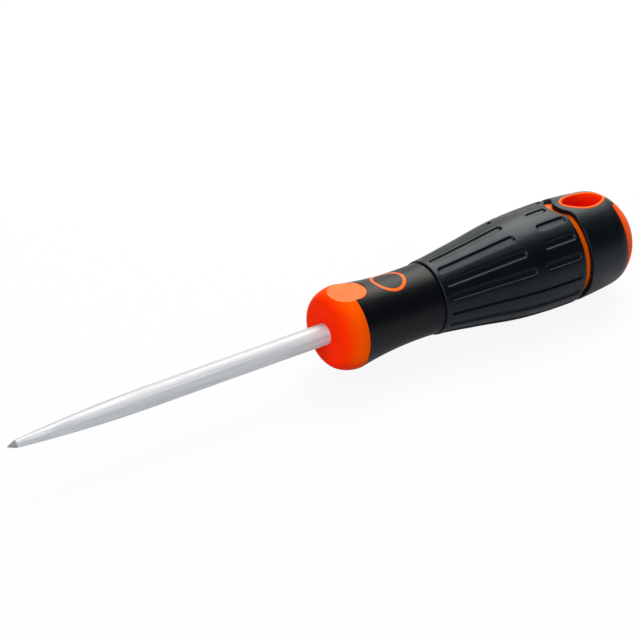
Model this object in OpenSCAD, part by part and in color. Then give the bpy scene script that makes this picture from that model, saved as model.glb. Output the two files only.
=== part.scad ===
// Bradawl: a round steel blade in a hard handle with soft sleeves. Lengths are in millimetres.
// X runs along the tool with the tip at minus X, and Z is up through the hang hole.
// The origin lies on the axis where the blade leaves the handle's nose.

/* [Blade] */
// Diameter of the round blade
blade_d = 6; // [5:0.1:7]
// Bare length from the nose to the tip
blade_len = 100; // [80:1:130]
// Length of the curved taper and the ground point together
taper_len = 45; // [30:1:60]
// Diameter where the taper meets the ground point
point_d = 2.2; // [1.6:0.1:3]
// Length of the ground point
point_len = 2.4; // [1.5:0.1:4]
// Width of the flat left on the tip
tip_d = 0.3; // [0.2:0.05:0.6]

/* [Tang] */
// Diameter of the tang inside the handle
tang_d = 5.6; // [4.4:0.1:5.8]
// Length of the tang behind the nose's face
tang_len = 68; // [56:1:72]
// Chamfer on the tang's end
tang_chamfer = 1.2; // [0.6:0.1:2]
// Length of each pair of pressed wings
wing_len = 10; // [6:0.5:14]
// Width across a pair of wings
wing_span = 9; // [7.5:0.1:11]
// Thickness of the wings
wing_t = 1.8; // [1.2:0.1:2.6]
// Length of the slope at each end of a wing
wing_slope = 2.2; // [1:0.1:2.8]
// Distance from the nose's face to the front wings
wing_front = 16; // [12:1:22]
// Distance from the rear wings to the tang's end
wing_back = 16; // [8:1:20]

/* [Nose] */
// Length of the hard nose
nose_len = 6.9; // [5.5:0.1:9]
// Diameter of the nose where it meets the neck
nose_d = 23.9; // [22.5:0.1:25]
// Diameter of the nose's flat front face
face_d = 16; // [12:0.5:19]
// Depth of the thumb flat below the nose's highest line
flat_drop = 1.2; // [0.6:0.1:1.8]
// Reach of the nose's tongue into the neck
tongue_len = 5.9; // [5.6:0.1:7.5]
// Width of the tongue
tongue_w = 9.8; // [7:0.1:11]

/* [Neck] */
// Length of the neck from the nose to the grip's shoulder
neck_len = 26.8; // [25:0.1:32]
// Diameter at the neck's waist
waist_d = 20.2; // [19:0.1:21.2]
// Distance from the nose to the waist
waist_pos = 20.6; // [18:0.1:23]
// Thickness of the neck's sleeve at the waist
neck_skin = 2; // [1.5:0.1:2.6]
// Outer diameter of the ring mark
mark_d = 10; // [8:0.1:11]
// Width of the ring mark's line
mark_w = 0.9; // [0.7:0.05:1.6]
// Distance from the nose to the ring mark's centre
mark_pos = 14.1; // [13.4:0.1:17]

/* [Grip] */
// Length of the grip from its shoulder to the seam
grip_len = 45.4; // [40:0.1:55]
// Diameter at the shoulder
shoulder_d = 21.3; // [20.8:0.1:23]
// Slope of the grip's outline where it leaves the shoulder
shoulder_slope = 0.06; // [0:0.01:0.12]
// Diameter where the grip swells most
swell_d = 24.6; // [23:0.1:26]
// Distance from the shoulder to the swell
swell_pos = 13.3; // [10:0.1:17]
// Diameter at the front of the bare band
band_d = 28.9; // [27.5:0.1:29.6]
// Distance from the shoulder to the front of the bare band
band_front = 28.3; // [24:0.1:32]
// Greatest diameter of the handle
belly_d = 30.05; // [29:0.05:33]
// Distance from the greatest diameter to the seam
belly_back = 2.1; // [0.5:0.1:6]
// Thickness of the grip's sleeve at the belly
grip_skin = 2.7; // [2.2:0.1:3.4]
// Open line between the neck's sleeve and the grip
shoulder_gap = 0.3; // [0.2:0.05:0.6]
// Length of the neck's lap under the grip
lap_len = 3.2; // [2:0.1:5]
// Depth of the lap below the shoulder
lap_depth = 1.3; // [1:0.1:1.7]

/* [Grooves] */
// Number of grooves round the grip
groove_count = 16; // [8:4:20]
// Width of a groove
groove_w = 2; // [1.2:0.1:2.4]
// Depth of a groove
groove_depth = 0.5; // [0.4:0.1:1]
// Plain margin between the shoulder and the grooves
groove_front = 1.6; // [1:0.1:4]
// Plain margin between the grooves and the seam
groove_back = 1.4; // [0.8:0.1:3]
// Width of the bare band on top, where the grooves stop
band_w = 9.1; // [6:0.1:12]
// Distance from the shoulder to the middle of the bare band
band_pos = 30.4; // [28:0.1:33]
// Angle from the top at which the bare band has run out
band_angle = 90; // [60:5:120]

/* [Core keys] */
// Number of lengthwise keys under the grip
key_count = 6; // [3:1:8]
// Width of a key
key_w = 2; // [1.4:0.1:3]
// Height of a key
key_h = 0.9; // [0.5:0.1:1.1]
// Distance from each end of the grip's seat to the keys
key_margin = 4; // [2:0.5:8]

/* [Seam] */
// Width of the open seam between grip and rear sleeve
seam_w = 2.2; // [1.8:0.1:2.9]
// Depth of the seam
seam_depth = 1.5; // [0.8:0.1:1.6]
// Overlap of the core's collar under each side of the seam
collar_lap = 1.4; // [1:0.1:2]

/* [Rear sleeve] */
// Length of the rear sleeve at the handle's sides
rear_len = 13.9; // [13:0.1:16]
// Thickness of the rear sleeve at its end
rear_skin = 2.6; // [2:0.1:3.2]
// Drop in diameter from the belly to where the rear sleeve starts to round off
round_drop = 1.7; // [1.05:0.05:2.65]
// Length of that rounded end
round_len = 5; // [3:0.1:6.5]
// Drop in diameter from the belly to the rear sleeve's end
end_drop = 3.65; // [3.05:0.05:5.05]
// Slope of the outline at the rear sleeve's end
end_slope = 0.42; // [0.3:0.01:0.5]
// Margin of the sleeve's front bulge round the eyelet
bulge_front = 1.9; // [1.6:0.05:2.4]
// Margin of the sleeve's rear bulge round the eyelet
bulge_back = 2.4; // [1.8:0.05:2.8]
// Radius of the hollow corners beside the bulges
bulge_blend = 3.2; // [3:0.1:4.5]

/* [Hang hole] */
// Distance from the seam to the middle of the hole
eye_pos = 7; // [6.5:0.1:7.3]
// Outer length of the eyelet
eye_len = 15.5; // [14.4:0.1:16]
// Outer width of the eyelet
eye_w = 9.5; // [8.6:0.1:10.4]
// Radius of the eyelet's outer ends
eye_end_r = 2.6; // [2.2:0.1:3.2]
// Wall of the eyelet
eye_wall = 0.95; // [0.8:0.05:1.4]
// Width of the step at the eyelet's mouths
lip_w = 0.45; // [0.2:0.05:0.6]
// Depth of the step at the eyelet's mouths
lip_depth = 0.5; // [0.3:0.05:1]

/* [End cap] */
// Length of the domed cap
cap_len = 7.9; // [7:0.1:10]
// Diameter of the core's spigot in the cap
spigot_d = 15; // [13:0.1:17]
// Length of the spigot
spigot_len = 3.8; // [3.4:0.1:4.6]
// Height of the bead that holds the cap
bead_h = 0.35; // [0.2:0.05:0.6]
// Width of the bead at its root
bead_w = 1.2; // [0.8:0.1:1.6]

/* [Fits] */
// Gap between a moulded piece and its seat
seat_gap = 0.02; // [0.01:0.01:0.05]

/* [Hidden] */
$fn = 64;

// Straight pieces along each curved stretch of an outline
steps = 10;

// Places along the tool
shoulder_x = nose_len + neck_len;
seam_x = shoulder_x + grip_len;
rear_x = seam_x + seam_w;
cap_x = rear_x + rear_len;
cap_end = cap_x + cap_len;
spigot_end = cap_x + spigot_len;
tongue_end = nose_len + tongue_len;
mark_x = nose_len + mark_pos;
band_x = shoulder_x + band_pos;
eye_x = rear_x + eye_pos;
eye_front_x = eye_x - eye_len / 2 + eye_end_r;
eye_back_x = eye_x + eye_len / 2 - eye_end_r;

// Diameters of the rear sleeve, which follow the belly
round_d = belly_d - round_drop;
end_d = belly_d - end_drop;

// Radii of the core and of the surfaces that the sleeves sit on
blade_r = blade_d / 2;
tang_r = tang_d / 2;
core_neck_r = waist_d / 2 - neck_skin;
core_belly_r = belly_d / 2 - grip_skin;
core_rear_r = end_d / 2 - rear_skin;
collar_r = belly_d / 2 - seam_depth;
spigot_r = spigot_d / 2;
lap_r = shoulder_d / 2 - lap_depth;
flat_z = nose_d / 2 - flat_drop;

// Radii of the rear sleeve's bulges round the eyelet's ends
bulge_front_r = eye_end_r + bulge_front;
bulge_back_r = eye_end_r + bulge_back;

// Collar of the core under the seam, also where the seam swings forward round the eyelet
seam_front = min(seam_x, eye_front_x - bulge_front_r - seam_w);
collar_front = seam_front - collar_lap;
collar_back = rear_x + collar_lap;

// Half of a plan or a height that clears the whole handle
clear = belly_d;

function lerp(a, b, u) = a + (b - a) * u;

function flip(list) = [for (i = [len(list) - 1:-1:0]) list[i]];

function arc(x, y, r, from, to) =
    [for (i = [0:steps]) let (a = lerp(from, to, i / steps)) [x + r * cos(a), y + r * sin(a)]];

// Smooth curve between two stations, each a place, a radius and a slope
function station_r(a, b, u) =
    (2 * pow(u, 3) - 3 * pow(u, 2) + 1) * a[1]
    + (pow(u, 3) - 2 * pow(u, 2) + u) * (b[0] - a[0]) * a[2]
    + (3 * pow(u, 2) - 2 * pow(u, 3)) * b[1]
    + (pow(u, 3) - pow(u, 2)) * (b[0] - a[0]) * b[2];

function span_points(a, b) =
    [for (i = [0:steps]) let (u = i / steps) [station_r(a, b, u), lerp(a[0], b[0], u)]];

// Outlines are rows of radius and place along the tool
nose_points = [
    for (i = [0:steps])
        let (a = 90 * i / steps)
        [lerp(face_d, nose_d, sin(a)) / 2, nose_len * (1 - cos(a))]
];

function neck_r(x) = waist_d / 2
    + (nose_d - waist_d) / 2 * pow((x - nose_len - waist_pos) / waist_pos, 2);

function neck_points(from, to) =
    [for (i = [0:2 * steps]) let (x = lerp(from, to, i / (2 * steps))) [neck_r(x), x]];

// Stations of the grip and of the rear sleeve
swell_x = shoulder_x + swell_pos;
band_front_x = shoulder_x + band_front;
belly_x = seam_x - belly_back;
round_x = cap_x - round_len;
shoulder_at = [shoulder_x, shoulder_d / 2, shoulder_slope];
swell_at = [swell_x, swell_d / 2, (band_d - shoulder_d) / 2 / (band_front_x - shoulder_x)];
band_at = [band_front_x, band_d / 2, (belly_d - swell_d) / 2 / (belly_x - swell_x)];
belly_at = [belly_x, belly_d / 2, 0];
round_at = [round_x, round_d / 2, (end_d - belly_d) / 2 / (cap_x - belly_x)];
end_at = [cap_x, end_d / 2, -end_slope];

grip_points = concat(
    span_points(shoulder_at, swell_at),
    span_points(swell_at, band_at),
    span_points(band_at, belly_at)
);
rear_points = concat(span_points(belly_at, round_at), span_points(round_at, end_at));

// Domed end, as an arc about a centre on the axis
cap_r = (pow(cap_len, 2) + pow(end_d / 2, 2)) / (2 * cap_len);
cap_edge = asin(end_d / 2 / cap_r);
cap_points = [
    for (i = [0:2 * steps])
        let (a = cap_edge * (1 - i / (2 * steps)))
        [cap_r * sin(a), cap_end - cap_r * (1 - cos(a))]
];

function grown(points, by) = [for (p = points) [p[0] + by, p[1]]];

// Radius of the core's cone under the grip, and of its taper behind the collar
function core_r(x) =
    lerp(core_neck_r, core_belly_r, (x - shoulder_x) / (collar_front - shoulder_x));

// Edge of the rear sleeve in plan: straight across, with a bulge round one end of the eyelet
function bulge_edge(edge, x, r, blend) =
    let (
        side = sign(edge - x),
        blend_x = edge + side * blend,
        blend_y = sqrt(pow(r + blend, 2) - pow(blend_x - x, 2)),
        turn = atan2(blend_y, abs(blend_x - x)),
        half = concat(
            [[edge, clear]],
            [for (p = arc(0, 0, blend, 0, turn)) [blend_x - side * p[0], blend_y - p[1]]],
            [for (p = arc(0, 0, r, turn, 0)) [x + side * p[0], p[1]]]
        )
    )
    concat(half, [for (p = flip(half)) [p[0], -p[1]]]);

function front_edge(grow) =
    bulge_edge(rear_x - grow, eye_front_x, bulge_front_r + grow, bulge_blend - grow);

function back_edge(grow) =
    bulge_edge(cap_x + grow, eye_back_x, bulge_back_r + grow, bulge_blend - grow);

// Oval of the eyelet in plan: two wide side arcs that run into the round ends
function eye_points(grow) =
    let (
        end = eye_len / 2 - eye_end_r,
        half = eye_w / 2,
        side_r = (pow(end, 2) + pow(half, 2) - pow(eye_end_r, 2)) / (2 * (half - eye_end_r)),
        turn = atan2(side_r - half, end)
    )
    concat(
        arc(eye_x + end, 0, eye_end_r + grow, -turn, turn),
        arc(eye_x, half - side_r, side_r + grow, turn, 180 - turn),
        arc(eye_x - end, 0, eye_end_r + grow, 180 - turn, 180 + turn),
        arc(eye_x, side_r - half, side_r + grow, 180 + turn, 360 - turn)
    );

// Place of the seam's front edge at a distance from the middle plane
function seam_edge(y) =
    let (r = bulge_front_r + seam_w)
    abs(y) < r ? min(seam_x, eye_front_x - sqrt(pow(r, 2) - pow(y, 2))) : seam_x;

// Half of the bare band's width at an angle from the top
function band_half(angle) =
    angle < band_angle ? band_w / 2 * (1 - pow(angle / band_angle, 1.5)) : 0;

// Solid turned about the tool's axis from an outline
module turned(outline) {
    rotate([0, 90, 0])
        rotate_extrude()
            polygon(outline);
}

// Upright prism over a plan, through the whole handle
module through(plan) {
    translate([0, 0, -clear])
        linear_extrude(2 * clear)
            polygon(plan);
}

// Flat wings pressed out of the tang, one pair lying and one pair upright
module wings(gap) {
    half = wing_span / 2 + gap;
    plan = [
        [-gap, 0],
        [wing_slope - gap, half],
        [wing_len - wing_slope + gap, half],
        [wing_len + gap, 0],
        [wing_len - wing_slope + gap, -half],
        [wing_slope - gap, -half]
    ];
    for (place = [[wing_front, 0], [tang_len - wing_back - wing_len, 90]])
        translate([place[0], 0, 0])
            rotate([place[1], 0, 0])
                linear_extrude(wing_t + 2 * gap, center = true)
                    polygon(plan);
}

// Part of the blade behind the nose's face, grown by a gap for the core's cavity
module tang(gap, from) {
    turned([
        [0, from],
        [tang_r + gap, from],
        [tang_r + gap, tang_len - tang_chamfer],
        [tang_r + gap - tang_chamfer, tang_len + gap],
        [0, tang_len + gap]
    ]);
    wings(gap);
}

// Steel blade: curved taper, ground point and tang
module blade() {
    taper_x = taper_len - blade_len;
    curve_len = taper_len - point_len;
    taper = [
        for (i = [0:2 * steps])
            let (u = 1 - i / (2 * steps))
            [blade_r - (blade_r - point_d / 2) * pow(u, 2), taper_x - curve_len * u]
    ];
    color([0.78, 0.8, 0.82]) {
        turned(concat([[0, -blade_len], [tip_d / 2, -blade_len]], taper, [[blade_r, 0], [0, 0]]));
        tang(0, 0);
    }
}

// Plan of the nose's tongue, with a round end
module tongue_plan(gap) {
    half = tongue_w / 2 + gap;
    middle = tongue_end - tongue_w / 2;
    translate([middle, 0])
        circle(half);
    translate([0, -half])
        square([middle, 2 * half]);
}

// Neck's outer form as a solid, for what rises to its surface
module neck_form() {
    turned(concat([[0, nose_len]], neck_points(nose_len, shoulder_x), [[0, shoulder_x]]));
}

// Lengthwise keys on the core's cone
module keys(gap) {
    from = shoulder_x + lap_len + key_margin - gap;
    to = collar_front - key_margin + gap;
    for (i = [0:key_count - 1])
        rotate([360 / key_count * i + 90, 0, 0])
            linear_extrude(key_w + 2 * gap, center = true)
                polygon([
                    [from, core_r(from) - key_h],
                    [to, core_r(to) - key_h],
                    [to, core_r(to) + key_h + gap],
                    [from, core_r(from) + key_h + gap]
                ]);
}

// Ridge round the spigot, as rows of an outline
function bead(gap) =
    let (middle = (cap_x + spigot_end) / 2, half = bead_w / 2 + gap)
    [
        [spigot_r + gap, middle - half],
        [spigot_r + bead_h + gap, middle - half / 2],
        [spigot_r + bead_h + gap, middle + half / 2],
        [spigot_r + gap, middle + half]
    ];

// Hard core: nose, tongue, ring mark, collar under the seam and spigot for the cap
module handle_core() {
    outline = concat(
        [[0, 0]],
        nose_points,
        [
            [core_neck_r, nose_len],
            [core_neck_r, shoulder_x],
            [core_belly_r, collar_front],
            [collar_r, collar_front],
            [collar_r, collar_back],
            [core_belly_r, collar_back],
            [core_rear_r, cap_x],
            [spigot_r, cap_x]
        ],
        bead(0),
        [[spigot_r, spigot_end], [0, spigot_end]]
    );
    color([0.95, 0.32, 0.05])
        difference() {
            union() {
                turned(outline);
                intersection() {
                    neck_form();
                    union() {
                        linear_extrude(clear)
                            tongue_plan(0);
                        translate([mark_x, 0, 0])
                            difference() {
                                cylinder(d = mark_d, h = clear);
                                translate([0, 0, core_neck_r / 2])
                                    cylinder(d = mark_d - 2 * mark_w, h = clear);
                            }
                    }
                }
                keys(0);
            }
            translate([-nose_len, -clear, flat_z])
                cube([tongue_end + nose_len, 2 * clear, clear]);
            tang(seat_gap, -nose_len);
            through(eye_points(seat_gap));
        }
}

// Neck's sleeve as a full turned tube, with the lap that the grip covers
module neck_tube() {
    from = nose_len + seat_gap;
    to = shoulder_x - shoulder_gap;
    lap_end = shoulder_x + lap_len - seat_gap;
    turned(concat(
        [[core_neck_r + seat_gap, from]],
        neck_points(from, to),
        [
            [lap_r - seat_gap, to],
            [lap_r - seat_gap, lap_end],
            [core_r(lap_end) + seat_gap, lap_end],
            [core_neck_r + seat_gap, shoulder_x]
        ]
    ));
}

// Soft sleeve of the neck, open on top for the tongue and the ring mark
module neck_sleeve() {
    color([0.16, 0.16, 0.16])
        difference() {
            neck_tube();
            linear_extrude(clear)
                tongue_plan(seat_gap);
            translate([mark_x, 0, 0])
                cylinder(d = mark_d + 2 * seat_gap, h = clear);
        }
}

// Soft disc inside the ring mark
module thumb_pad() {
    color([0.16, 0.16, 0.16])
        intersection() {
            neck_tube();
            translate([mark_x, 0, 0])
                cylinder(d = mark_d - 2 * (mark_w + seat_gap), h = clear);
        }
}

// Round-ended slot in plan
module slot(from, to) {
    half = groove_w / 2;
    translate([from + half, -half])
        square([to - from - groove_w, groove_w]);
    for (x = [from + half, to - half])
        translate([x, 0])
            circle(half);
}

// Grooves of one depth below the barrel's surface, stopped by the bare band on top
module grooves() {
    start = shoulder_x + groove_front;
    intersection() {
        turned(concat(grown(grip_points, -groove_depth), flip(grown(grip_points, groove_depth))));
        for (i = [0:groove_count - 1]) {
            angle = 360 / groove_count * i;
            from_top = min(angle, 360 - angle);
            gap = band_half(from_top);
            stop = seam_edge(belly_d / 2 * sin(angle)) - groove_back;
            rotate([angle, 0, 0])
                translate([0, 0, core_neck_r])
                    linear_extrude(clear)
                        if (gap > 0) {
                            slot(start, band_x - gap);
                            slot(band_x + gap, stop);
                        } else {
                            slot(start, stop);
                        }
        }
    }
}

// Soft barrel of the grip
module grip_sleeve() {
    lap_end = shoulder_x + lap_len;
    outline = concat(
        grip_points,
        [
            [belly_d / 2, rear_x],
            [collar_r + seat_gap, rear_x],
            [collar_r + seat_gap, collar_front - seat_gap],
            [core_belly_r + seat_gap, collar_front - seat_gap],
            [core_r(lap_end) + seat_gap, lap_end],
            [lap_r, lap_end],
            [lap_r, shoulder_x]
        ]
    );
    color([0.11, 0.12, 0.14])
        difference() {
            turned(outline);
            through(concat(front_edge(seam_w), [[cap_end, -clear], [cap_end, clear]]));
            keys(seat_gap);
            grooves();
        }
}

// Soft band round the hang hole, between the seam and the cap
module rear_sleeve() {
    outline = concat(
        [[belly_d / 2, collar_front]],
        rear_points,
        cap_points,
        [
            [spigot_r + bead_h + seat_gap, cap_end],
            [spigot_r + bead_h + seat_gap, cap_x + seat_gap],
            [core_rear_r + seat_gap, cap_x + seat_gap],
            [core_belly_r + seat_gap, collar_back + seat_gap],
            [collar_r + seat_gap, collar_back + seat_gap],
            [collar_r + seat_gap, collar_front]
        ]
    );
    color([0.11, 0.12, 0.14])
        difference() {
            intersection() {
                turned(outline);
                through(concat(front_edge(0), flip(back_edge(0))));
            }
            through(eye_points(seat_gap));
        }
}

// Hard lining of the hang hole, with a stepped mouth at each end
module hang_eyelet() {
    form = concat([[0, seam_front], [belly_d / 2, seam_front]], rear_points, cap_points);
    color([0.95, 0.32, 0.05])
        difference() {
            intersection() {
                turned(form);
                through(eye_points(0));
            }
            through(eye_points(-eye_wall));
            difference() {
                through(eye_points(lip_w - eye_wall));
                turned(concat(
                    [[0, seam_front], [belly_d / 2 - lip_depth, seam_front]],
                    grown(rear_points, -lip_depth),
                    [[0, cap_end]]
                ));
            }
        }
}

// Domed cap on the core's spigot
module end_cap() {
    color([0.95, 0.32, 0.05])
        difference() {
            turned(concat(
                cap_points,
                [[0, spigot_end + seat_gap], [spigot_r + seat_gap, spigot_end + seat_gap]],
                flip(bead(seat_gap)),
                [[spigot_r + seat_gap, cap_x]]
            ));
            through(concat(back_edge(seat_gap), [[0, -clear], [0, clear]]));
        }
}

blade();
handle_core();
neck_sleeve();
thumb_pad();
grip_sleeve();
rear_sleeve();
hang_eyelet();
end_cap();
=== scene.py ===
from math import acos, atan2, cos, hypot, pi, radians, sin, sqrt

import bpy
from bpy.props import FloatProperty, FloatVectorProperty, IntProperty, PointerProperty
from bpy.types import Operator, Panel, PropertyGroup
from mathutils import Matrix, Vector


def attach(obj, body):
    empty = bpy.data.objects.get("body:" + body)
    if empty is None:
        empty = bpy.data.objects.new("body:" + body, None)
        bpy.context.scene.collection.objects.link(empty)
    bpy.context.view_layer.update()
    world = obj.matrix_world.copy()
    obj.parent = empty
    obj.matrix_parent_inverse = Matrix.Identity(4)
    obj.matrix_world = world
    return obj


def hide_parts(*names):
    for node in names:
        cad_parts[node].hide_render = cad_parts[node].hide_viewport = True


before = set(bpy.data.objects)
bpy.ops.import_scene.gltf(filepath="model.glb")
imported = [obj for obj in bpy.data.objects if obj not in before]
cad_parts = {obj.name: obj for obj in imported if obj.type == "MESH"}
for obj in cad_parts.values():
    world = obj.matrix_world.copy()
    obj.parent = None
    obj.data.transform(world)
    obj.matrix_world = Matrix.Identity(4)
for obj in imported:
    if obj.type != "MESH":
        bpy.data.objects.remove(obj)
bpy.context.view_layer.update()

bl_info = {
    "name": "Bradawl",
    "version": (1, 0, 0),
    "blender": (4, 5, 0),
    "location": "View3D > Sidebar > Bradawl",
    "description": "Models a bradawl with a waisted two-colour handle on its packed frame",
    "category": "Add Mesh",
}

BODY = "root"
GAP = 0.00002  # between pieces that are moulded onto each other


# ---- sizes and colours


def length(name, description, default):
    return FloatProperty(
        name=name, description=description, default=default, min=0.0, precision=5, unit="LENGTH"
    )


def share(name, description, default):
    return FloatProperty(name=name, description=description, default=default, min=-1.0, max=1.0)


def colour(name, description, default):
    return FloatVectorProperty(
        name=name, description=description, default=default, min=0.0, max=1.0, subtype="COLOR"
    )


class BladeSizes(PropertyGroup):
    """Sizes of the steel blade and its tang"""

    diameter: length("Diameter", "Diameter of the round blade", 0.006)
    bare: length("Bare length", "Length from the nose to the tip", 0.1)
    taper: length("Taper", "Length of the curved taper and the point together", 0.045)
    point_diameter: length("Point diameter", "Diameter where the ground point starts", 0.0022)
    point: length("Point", "Length of the ground point", 0.0024)
    tip: length("Tip", "Width of the flat left on the tip", 0.0003)
    tang_diameter: length("Tang diameter", "Diameter of the tang in the handle", 0.0056)
    tang: length("Tang", "Length of the tang behind the nose's face", 0.068)
    wing: length("Wing", "Length of each pair of pressed wings", 0.01)
    wing_span: length("Wing span", "Width across a pair of wings", 0.009)
    wing_thickness: length("Wing thickness", "Thickness of the wings", 0.0018)
    wing_margin: length("Wing margin", "Distance of the wings from the tang's ends", 0.016)


class CoreSizes(PropertyGroup):
    """Sizes of the hard core where it comes to the surface"""

    nose: length("Nose", "Length of the hard nose", 0.0069)
    nose_diameter: length("Nose diameter", "Diameter where the nose meets the neck", 0.0239)
    face_diameter: length("Face diameter", "Diameter of the flat front face", 0.016)
    flat_height: length("Flat height", "Height of the thumb flat above the axis", 0.01075)
    tongue: length("Tongue", "Reach of the tongue into the neck", 0.0059)
    tongue_width: length("Tongue width", "Width of the tongue", 0.0098)
    mark_place: length("Mark place", "Distance from the nose's face to the ring mark", 0.021)
    mark_diameter: length("Mark diameter", "Outer diameter of the ring mark", 0.01)
    mark_line: length("Mark line", "Width of the ring mark's line", 0.0009)
    seat_radius: length("Neck seat", "Radius of the core under the neck's sleeve", 0.0081)
    belly_radius: length("Belly seat", "Radius of the core in front of the collar", 0.012325)
    collar_radius: length("Collar", "Radius of the collar that shows in the seam", 0.013525)
    collar_lap: length("Collar lap", "Overlap of the collar under each sleeve", 0.0014)
    rear_radius: length("Rear seat", "Radius of the core at the end cap", 0.0106)
    spigot_radius: length("Spigot", "Radius of the spigot in the cap", 0.0075)
    spigot: length("Spigot length", "Length of the spigot", 0.0038)


class NeckSizes(PropertyGroup):
    """Sizes of the soft neck"""

    neck: length("Neck", "Length from the nose to the grip's shoulder", 0.0268)
    waist_diameter: length("Waist diameter", "Diameter at the waist", 0.0202)
    waist_place: length("Waist place", "Distance from the nose to the waist", 0.0206)
    shoulder_line: length("Shoulder line", "Open line in front of the grip", 0.0003)
    lap: length("Lap", "Length of the lap under the grip", 0.0032)
    lap_radius: length("Lap radius", "Radius of that lap", 0.00935)
    soft_edge: length("Soft edge", "Rounding of the sleeve's edges", 0.00016)


class GripSizes(PropertyGroup):
    """Sizes of the grooved barrel"""

    grip: length("Grip", "Length from the shoulder to the seam", 0.0454)
    shoulder_diameter: length("Shoulder diameter", "Diameter at the shoulder", 0.0213)
    shoulder_slope: share("Shoulder slope", "Slope of the outline at the shoulder", 0.06)
    swell_diameter: length("Swell diameter", "Diameter where the grip swells most", 0.0246)
    swell_place: length("Swell place", "Distance from the shoulder to the swell", 0.0133)
    band_diameter: length("Band diameter", "Diameter at the front of the bare band", 0.0289)
    band_front: length("Band front", "Distance from the shoulder to that diameter", 0.0283)
    belly_diameter: length("Belly diameter", "Greatest diameter of the handle", 0.03005)
    belly_back: length("Belly place", "Distance from the belly to the seam", 0.0021)
    grooves: IntProperty(
        name="Grooves", description="Grooves round the grip", default=16, min=8, max=24
    )
    groove_width: length("Groove width", "Width of a groove", 0.002)
    groove_depth: length("Groove depth", "Depth of a groove", 0.0005)
    groove_corner: length("Groove corner", "Rounding of a groove's ends in plan", 0.0008)
    groove_edge: length("Groove edge", "Run over which a groove's wall turns in", 0.00062)
    front_margin: length("Front margin", "Plain margin behind the shoulder", 0.0016)
    back_margin: length("Back margin", "Plain margin before the seam", 0.0014)
    band_width: length("Band width", "Width of the bare band on top", 0.0091)
    band_place: length("Band place", "Distance from the shoulder to the band's middle", 0.0304)
    band_angle: FloatProperty(
        name="Band angle",
        description="Angle from the top at which the bare band has run out",
        default=radians(90),
        subtype="ANGLE",
    )
    front_round: length("Front rounding", "Rounding of the shoulder's edge", 0.0004)
    back_round: length("Back rounding", "Rounding of the edge at the seam", 0.0004)


class RearSizes(PropertyGroup):
    """Sizes of the rear sleeve, the seam and the hang hole"""

    seam_width: length("Seam", "Width of the open seam", 0.0022)
    sleeve: length("Sleeve", "Length of the rear sleeve at the sides", 0.0139)
    round_diameter: length("Round diameter", "Diameter where the end starts to round", 0.02835)
    round_length: length("Round length", "Length of that rounded end", 0.005)
    end_diameter: length("End diameter", "Diameter of the sleeve's end", 0.0264)
    end_slope: share("End slope", "Slope of the outline at that end", -0.42)
    bulge_front: length("Front bulge", "Margin in front of the lining", 0.0019)
    bulge_back: length("Back bulge", "Margin behind the lining", 0.0024)
    bulge_blend: length("Bulge blend", "Radius of the hollow corners", 0.0032)
    hole_place: length("Hole place", "Distance from the seam to the hole's middle", 0.007)
    hole_length: length("Hole length", "Outer length of the lining", 0.0155)
    hole_width: length("Hole width", "Outer width of the lining", 0.0095)
    hole_end: length("Hole end", "Radius of the lining's ends", 0.0026)
    lining: length("Lining", "Wall of the lining", 0.00095)
    lip: length("Lip", "Height of the lining's rounded lip", 0.00008)
    soft_edge: length("Soft edge", "Rounding of the sleeve's front edge", 0.00032)


class CapSizes(PropertyGroup):
    """Sizes of the domed end"""

    dome: length("Dome", "Length of the domed cap", 0.0079)
    soft_edge: length("Soft edge", "Rounding of the cap's edge", 0.00014)


class Finishes(PropertyGroup):
    """Colours of the finishes"""

    steel: colour("Steel", "Satin steel", (0.78, 0.80, 0.84))
    point_steel: colour("Point steel", "Freshly ground point", (0.33, 0.322, 0.315))
    orange: colour("Orange", "Hard orange moulding", (1.0, 0.106, 0.0008))
    # Painted light: a paler copy of the orange for the top-facing thumb flat, tongue, ring mark
    # and lining's lip, and for the seam's strip
    orange_painted_light: colour("Polished orange", "Where the mould is polished", (1.0, 0.152, 0.0016))
    # Painted shade: the deep red that the orange turns to in recesses and towards the nose's face
    orange_painted_shade: colour("Orange recess", "Deep orange in recesses", (0.94, 0.008, 0.0003))
    neck: colour("Neck black", "Hard matt black of the neck", (0.00065, 0.0013, 0.00338))
    neck_light: colour("Neck bloom", "Paler grain of the neck", (0.00208, 0.00273, 0.00455))
    grip: colour("Grip black", "Soft black of the grip", (0.000585, 0.0013, 0.00377))
    grip_light: colour("Grip bloom", "Paler grain of the grip", (0.00195, 0.00273, 0.0052))
    floor: colour("Floor", "Pale studio floor", (0.56, 0.59, 0.62))


SIZE_GROUPS = (
    ("awl_blade", BladeSizes),
    ("awl_core", CoreSizes),
    ("awl_neck", NeckSizes),
    ("awl_grip", GripSizes),
    ("awl_rear", RearSizes),
    ("awl_cap", CapSizes),
    ("awl_finish", Finishes),
)


# ---- the handle's outline


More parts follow.
